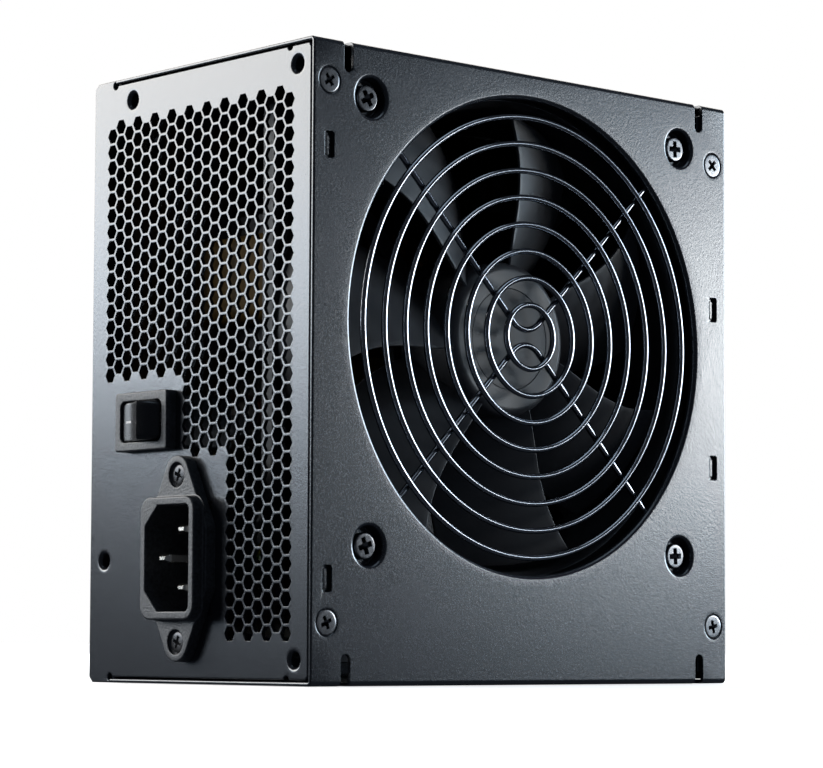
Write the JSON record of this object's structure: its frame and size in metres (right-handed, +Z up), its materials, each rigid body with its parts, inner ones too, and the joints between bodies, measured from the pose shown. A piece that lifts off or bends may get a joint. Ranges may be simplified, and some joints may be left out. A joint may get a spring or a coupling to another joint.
{
  "type": "computer power supply unit",
  "caption": "Boxed desktop computer power supply with a honeycomb rear panel, mains inlet, rocker switch and a side fan behind a wire guard.",
  "frame": {"origin": "centre of the narrow side that the unit stands on, midway between the rear panel and the cable end and midway between the fan face and the far face", "axes": "+Z up along the 150 mm side, +X from the rear (mains) panel towards the cable end, -Y out of the fan"},
  "size_m": [0.1488, 0.086, 0.15],
  "materials": {
    "coated_steel": "fine textured dark slate powder coat on sheet steel",
    "screw_steel": "black nickel plated steel",
    "black_screw": "black oxide steel",
    "sheet_plastic": "thin flame-retardant sheet",
    "black_plastic": "smooth moulded",
    "textured_plastic": "spark-eroded grain",
    "gloss_plastic": "polished moulding",
    "fan_plastic": "semi-gloss glass-filled moulding",
    "contact_metal": "bright tin plate",
    "guard_wire": "bright nickel-chrome plated wire",
    "shaft_steel": "ground steel",
    "core_steel": "stacked laminations",
    "brass": "turned",
    "label_paper": "plain dark label with no print",
    "ferrite": "sintered, matt",
    "copper_wire": "enamelled copper wire",
    "green_board": "solder-masked laminate",
    "tan_board": "phenolic paper laminate",
    "white_plastic": "natural nylon",
    "heatsink_aluminium": "extruded, black anodised",
    "package_black": "moulded epoxy",
    "yellow_tape": "polyester winding tape",
    "yellow_core": "epoxy-coated powdered iron",
    "yellow_plastic": "box capacitor case",
    "capacitor_sleeve": "shrunk sleeve",
    "fuse_glass": "clear tube with plated caps",
    "wire_black": "insulated lead",
    "wire_brown": "insulated lead",
    "wire_blue": "insulated lead",
    "wire_green": "insulated lead"
  },
  "bodies": {
    "casing": {"chassis_tray": "coated_steel", "rear_panel": "coated_steel", "fan_cover": "coated_steel", "cover_screws": "screw_steel", "insulation_sheet": "sheet_plastic", "cable_grommet": "black_plastic", "inlet_housing": "textured_plastic", "inlet_pins": "contact_metal", "inlet_earth_pin": "contact_metal", "inlet_screws": "black_screw", "inlet_nuts": "screw_steel", "switch_housing": "textured_plastic", "switch_terminals": "contact_metal", "guard_rings": "guard_wire", "guard_struts": "guard_wire", "fan_frame": "fan_plastic", "fan_motor_mount": "fan_plastic", "fan_screws": "screw_steel", "fan_bearing": "brass", "fan_stator": "core_steel", "fan_coils": "copper_wire", "fan_circuit_board": "green_board", "fan_lead": "wire_black", "fan_plug": "white_plastic", "fan_header": "white_plastic", "main_board": "tan_board", "board_standoffs": "brass", "board_screws": "screw_steel", "primary_heatsink": "heatsink_aluminium", "secondary_heatsink": "heatsink_aluminium", "power_transistors": "package_black", "bridge_rectifier": "package_black", "output_rectifiers": "package_black", "transformer_core": "ferrite", "transformer_winding": "yellow_tape", "standby_transformer": "yellow_tape", "pfc_coil_core": "ferrite", "pfc_coil_winding": "copper_wire", "output_choke_core": "yellow_core", "output_choke_winding": "copper_wire", "bulk_capacitors": "capacitor_sleeve", "output_capacitors": "capacitor_sleeve", "emi_choke": "package_black", "x_capacitor": "yellow_plastic", "fuse": "fuse_glass", "control_board": "green_board", "live_wire": "wire_brown", "neutral_wire": "wire_blue", "ground_wire": "wire_green", "switch_wire": "wire_brown"},
    "fan": {"fan_rotor": "fan_plastic", "fan_label": "label_paper", "fan_shaft": "shaft_steel", "fan_flux_ring": "shaft_steel", "fan_magnet": "ferrite", "fan_retaining_clip": "white_plastic"},
    "rocker": {"switch_rocker": "gloss_plastic"}
  },
  "joints": [
    {"name": "fan_spin", "type": "hinge", "parent": "casing", "child": "fan", "pos_m": [0, -0.03, 0.085], "axis": [0, 1, 0], "continuous": true},
    {"name": "switch_rock", "type": "hinge", "parent": "casing", "child": "rocker", "pos_m": [-0.0708, 0.0186, 0.0637], "axis": [0, 0, 1], "range_deg": [0, 46]}
  ]
}
